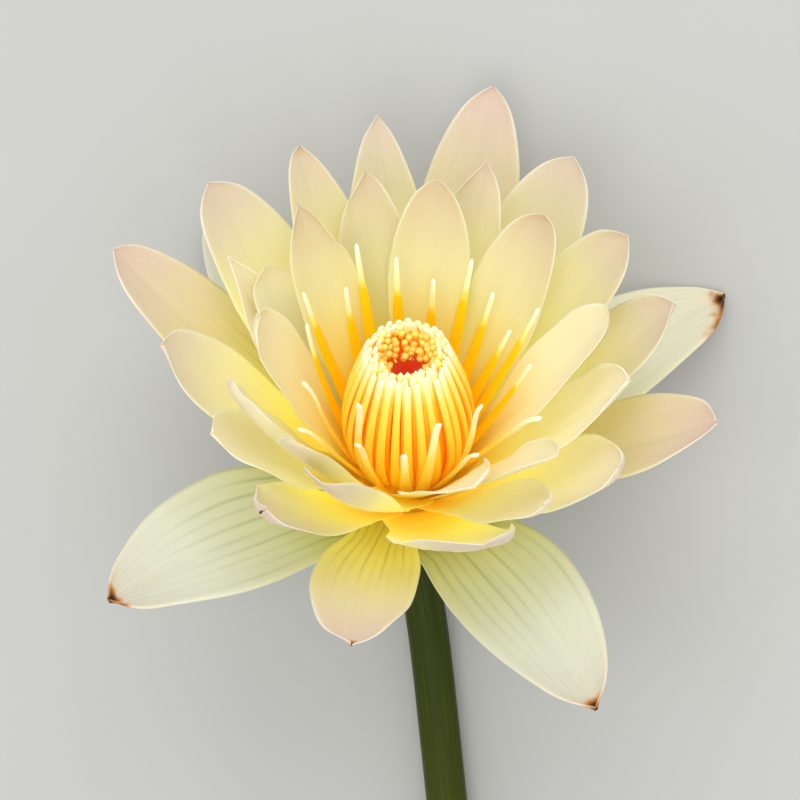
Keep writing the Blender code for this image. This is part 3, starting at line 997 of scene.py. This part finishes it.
def turned_form(name, outline, rays, ray_depth, rayed_from):
    """Lays the ball along an outline of radius and height, from its lower pole to its upper."""
    _, share, around = TURNED
    steps = np.linspace(0, 1, 200)
    fine = smooth_through(np.array(outline), steps)
    radius = np.maximum(np.interp(share, steps, fine[:, 0]), 0.0)
    radius[(share < 1e-6) | (share > 1 - 1e-6)] = 0.0
    height = np.interp(share, steps, fine[:, 1])
    rayed = rise(share, rayed_from, rayed_from + 0.1) * rise(radius, 0.3, 2.0)
    height = height + ray_depth * np.cos(rays * around) * rayed
    return laid_out(name, TURNED, in_bloom(radius, np.degrees(around), height))


def turned_finish(name, stops, rough, glow, softness=0.5, shine=0.5):
    finish = Finish(name, Subsurface_Weight=softness, Subsurface_Scale=0.0006,
                    Subsurface_Radius=(1.0, 0.4, 0.15), Roughness=rough, Specular_IOR_Level=shine)
    colour = finish.ramp(finish.own_map()[1] + 0.05 * (finish.noise(2.0) - 0.5), stops)
    relief = finish.bump(finish.noise(0.5), 0.06, 0.4)
    # painted light: an emission in the piece's own colour
    return finish.put(Base_Color=colour, Normal=relief,
                      Emission_Color=colour, Emission_Strength=glow)


# painted shade: the dark red-orange dish in the funnel stands for shade, with painted glow
throat = turned_form("stamen_throat", THROAT_SHADE, 24, 0.10, 0.5)
finished(throat, ["stamen_dome"], "stamen", turned_finish(
    "throat_painted_shade", [(0.0, (226, 84, 10)), (0.5, (246, 150, 10)),
                     (0.66, (238, 110, 6)), (0.78, (206, 52, 4)),
                     (1.0, (192, 40, 0))], 0.35, 0.05, 0.1, 0.15))
seat = turned_form("lily_receptacle", SEAT, 20, 0.12, 0.75)
finished(seat, ["receptacle"], "stigma", turned_finish(
    "receptacle_flesh", [(0.0, (96, 110, 40)), (0.28, (150, 150, 60)),
                         (0.36, (236, 190, 40)), (0.6, (250, 176, 14)),
                         (0.75, (226, 96, 10)), (1.0, (200, 60, 14))], 0.5, 0.1))
print("throat and receptacle turned")

# %% [markdown]
# The stem's line is read off the measured model. Its ends are the smallest flat groups of faces.
# From the cut end on, each next ring of points is all that is joined to the last, and the middles
# of the rings, smoothed a little, are the line.

# %% Find the line of the stem
LINE_STEPS = 400
SMOOTHINGS = 60
CAP_FACES = 8              # a flat group with more faces than this may be an end


def stem_line():
    """Middle of each ring of the measured stem, from under the bloom to the cut end."""
    net = bmesh.new()
    net.from_mesh(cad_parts["stem"].data)
    bmesh.ops.remove_doubles(net, verts=net.verts, dist=0.001 * MM)
    net.normal_update()
    flat = {}
    for face in net.faces:
        flat.setdefault(tuple(round(c, 2) for c in face.normal), []).append(face)
    groups = [{v for face in faces for v in face.verts}
              for faces in flat.values() if len(faces) > CAP_FACES]
    caps = sorted(groups, key=lambda verts: np.ptp([v.co for v in verts], axis=0).max())[:2]
    ring = max(caps, key=lambda verts: np.linalg.norm(
        np.mean([v.co for v in verts], axis=0) - FOOT))
    seen, middles, radius = set(), [], 0.0
    while ring:
        places = np.array([tuple(v.co) for v in ring])
        middles.append(places.mean(axis=0))
        radius = max(radius, np.linalg.norm(places - middles[-1], axis=1).mean())
        seen |= ring
        ring = {e.other_vert(v) for v in ring for e in v.link_edges} - seen
    net.free()
    return np.array(middles[::-1]), radius


knots, stem_radius = stem_line()
run = np.append(0.0, np.linalg.norm(np.diff(knots, axis=0), axis=1).cumsum())
line = read_along(np.linspace(0, run[-1], LINE_STEPS), run, knots)
for _ in range(SMOOTHINGS):
    line[1:-1] = (line[:-2] + line[1:-1] + line[2:]) / 3.0
print("stem", round(run[-1] / MM, 1), "mm long,", round(stem_radius / MM, 2), "mm in radius")

# %% [markdown]
# The stem was cut, so its end shows the air canals of a water plant: four wide ones in the middle
# and a ring of small ones. The ball is drawn out along the line once more: its first rings close
# the hidden upper end, and its last rings close the cut face, where the canals are pushed in.

# %% Draw out the stem and push in its canals
STEM_AROUND = 96
TOP_RINGS = 6              # rings of the hidden upper end, of the side, and of the cut face
SIDE_RINGS = 130
CUT_RINGS = 44
ALL_RINGS = TOP_RINGS + SIDE_RINGS + CUT_RINGS
STEM_RIDGES = 9
RIDGE_DEPTH = 0.05         # mm
RIM = 0.25                 # how much the edge of the cut is rounded, in mm
CANALS = (                 # how many, distance from the middle and radius in mm, depth in mm
    (4, 1.35, 0.72, 2.2),
    (12, 2.75, 0.3, 1.4),
)

STALK = template(STEM_AROUND, ALL_RINGS)
_, share, around = STALK
number = np.rint(share * ALL_RINGS)
spread = np.interp(number, (0, TOP_RINGS, TOP_RINGS + SIDE_RINGS, ALL_RINGS), (0, 1, 1, 0))
down = np.clip((number - TOP_RINGS) / SIDE_RINGS, 0, 1)
steps = np.linspace(0, 1, LINE_STEPS)
course = unit(read_along(down, steps, unit(np.gradient(line, axis=0))))
left = unit(np.cross(course, np.array((0.0, 0.0, 1.0))))
over = np.cross(left, course)
ridges = RIDGE_DEPTH * MM * (np.cos(STEM_RIDGES * around) - 1.0) * rise(spread, 0.7, 1.0)
rounding = 1.0 - np.sqrt(np.clip(1.0 - rise(down, 0.996, 1.0), 0, 1))
reach = spread * stem_radius + ridges - RIM * MM * rounding * (spread > 0.99)
leftwards, overwards = reach * np.cos(around), reach * np.sin(around)
places = read_along(down, steps, line)
places = places + left * leftwards[:, None] + over * overwards[:, None]
well = np.zeros(len(share))
for count, out, wide, depth in CANALS:
    for index in range(count):
        angle = 2.0 * math.pi * (index + 0.5) / count
        apart = np.hypot(leftwards - out * MM * math.cos(angle),
                         overwards - out * MM * math.sin(angle))
        well = np.maximum(well, depth * MM * (1.0 - rise(apart, 0.75 * wide * MM, wide * MM)))
well *= number > TOP_RINGS + SIDE_RINGS
stalk = laid_out("lily_stem", STALK, places - course * well[:, None])
print("the stem has", len(stalk.data.polygons), "faces")

# %% [markdown]
# The skin of the stem is a dark olive green with fine streaks along it. The cut face is pale and
# juicy. Both are on one ball, so the share of its length picks between them.

# %% Finish the stem
stem_skin = Finish("stem_skin", Roughness=0.5, Specular_IOR_Level=0.12,
                   Subsurface_Weight=0.15, Subsurface_Scale=0.001)
around, along = stem_skin.own_map()
long_blots = stem_skin.node("CombineXYZ", {}, {0: around * 60.0, 1: along * 5.0})
streaks = stem_skin.noise(1.0 / MM, detail=3.0, where=long_blots)
cloud = 0.1 * (stem_skin.noise(CLOUD) - 0.5) * (1.0 - along.step(0.5, 0.7))
green = stem_skin.ramp(along + cloud, [
    (0.0, (34, 42, 4)), (0.25, (46, 54, 8)), (0.7, (60, 68, 10)),
    (0.75, (66, 74, 20)), (0.765, (150, 158, 96)), (1.0, (176, 182, 124)),
])
streaked = streaks.step(0.5, 0.7) * 0.3 * (1.0 - along.step(0.7, 0.75))
green = stem_skin.mix(streaked, green, paint(84, 92, 16))
stem_skin.put(Base_Color=green, Normal=stem_skin.bump(streaks, 0.05, 0.4))
finished(stalk, ["stem"], "stem", stem_skin.material)
print(len(bpy.data.materials), "finishes in all")

# %% [markdown]
# The flower lies on a plain pale table under soft light. One wide lamp looks down the axis of the
# bloom, as an open sky would, a second one fills from above the stem, and an even world light
# keeps the shadows between the petals clear.

# %% Floor, lights and world
bpy.ops.object.select_all(action="DESELECT")
bpy.ops.mesh.primitive_plane_add(size=4.0, location=(0, 0, 0))
floor = bpy.context.object
floor.name = "table_top"
table = Finish("table_paint", Roughness=0.7, Specular_IOR_Level=0.2)
greys = table.mix(table.noise(60.0), paint(186, 186, 183), paint(191, 191, 188))
floor.data.materials.append(table.put(Base_Color=greys))


def soft_light(name, place, size, power, tint=(1.0, 1.0, 1.0)):
    """A square lamp that looks at the bloom; its size in metres, its power in watts."""
    bpy.ops.object.light_add(type="AREA", location=place)
    lamp = bpy.context.object
    lamp.name = name
    lamp.data.size = size
    lamp.data.energy = power
    lamp.data.color = tint
    lamp.rotation_euler = (Vector(FOOT) - Vector(place)).to_track_quat("-Z", "Y").to_euler()
    return lamp


soft_light("key", tuple(FOOT + 0.95 * AXIS), 0.7, 2.6, (1.0, 0.985, 0.96))
soft_light("fill", (0.05, -0.25, 0.9), 0.6, 2.6)
world = bpy.data.worlds.new("studio")
world.use_nodes = True
sky = world.node_tree.nodes["Background"].inputs
sky["Color"].default_value = (0.98, 0.99, 1.0, 1.0)
sky["Strength"].default_value = 0.87
bpy.context.scene.world = world
bpy.context.scene.view_settings.view_transform = "Standard"
print("lights ready")
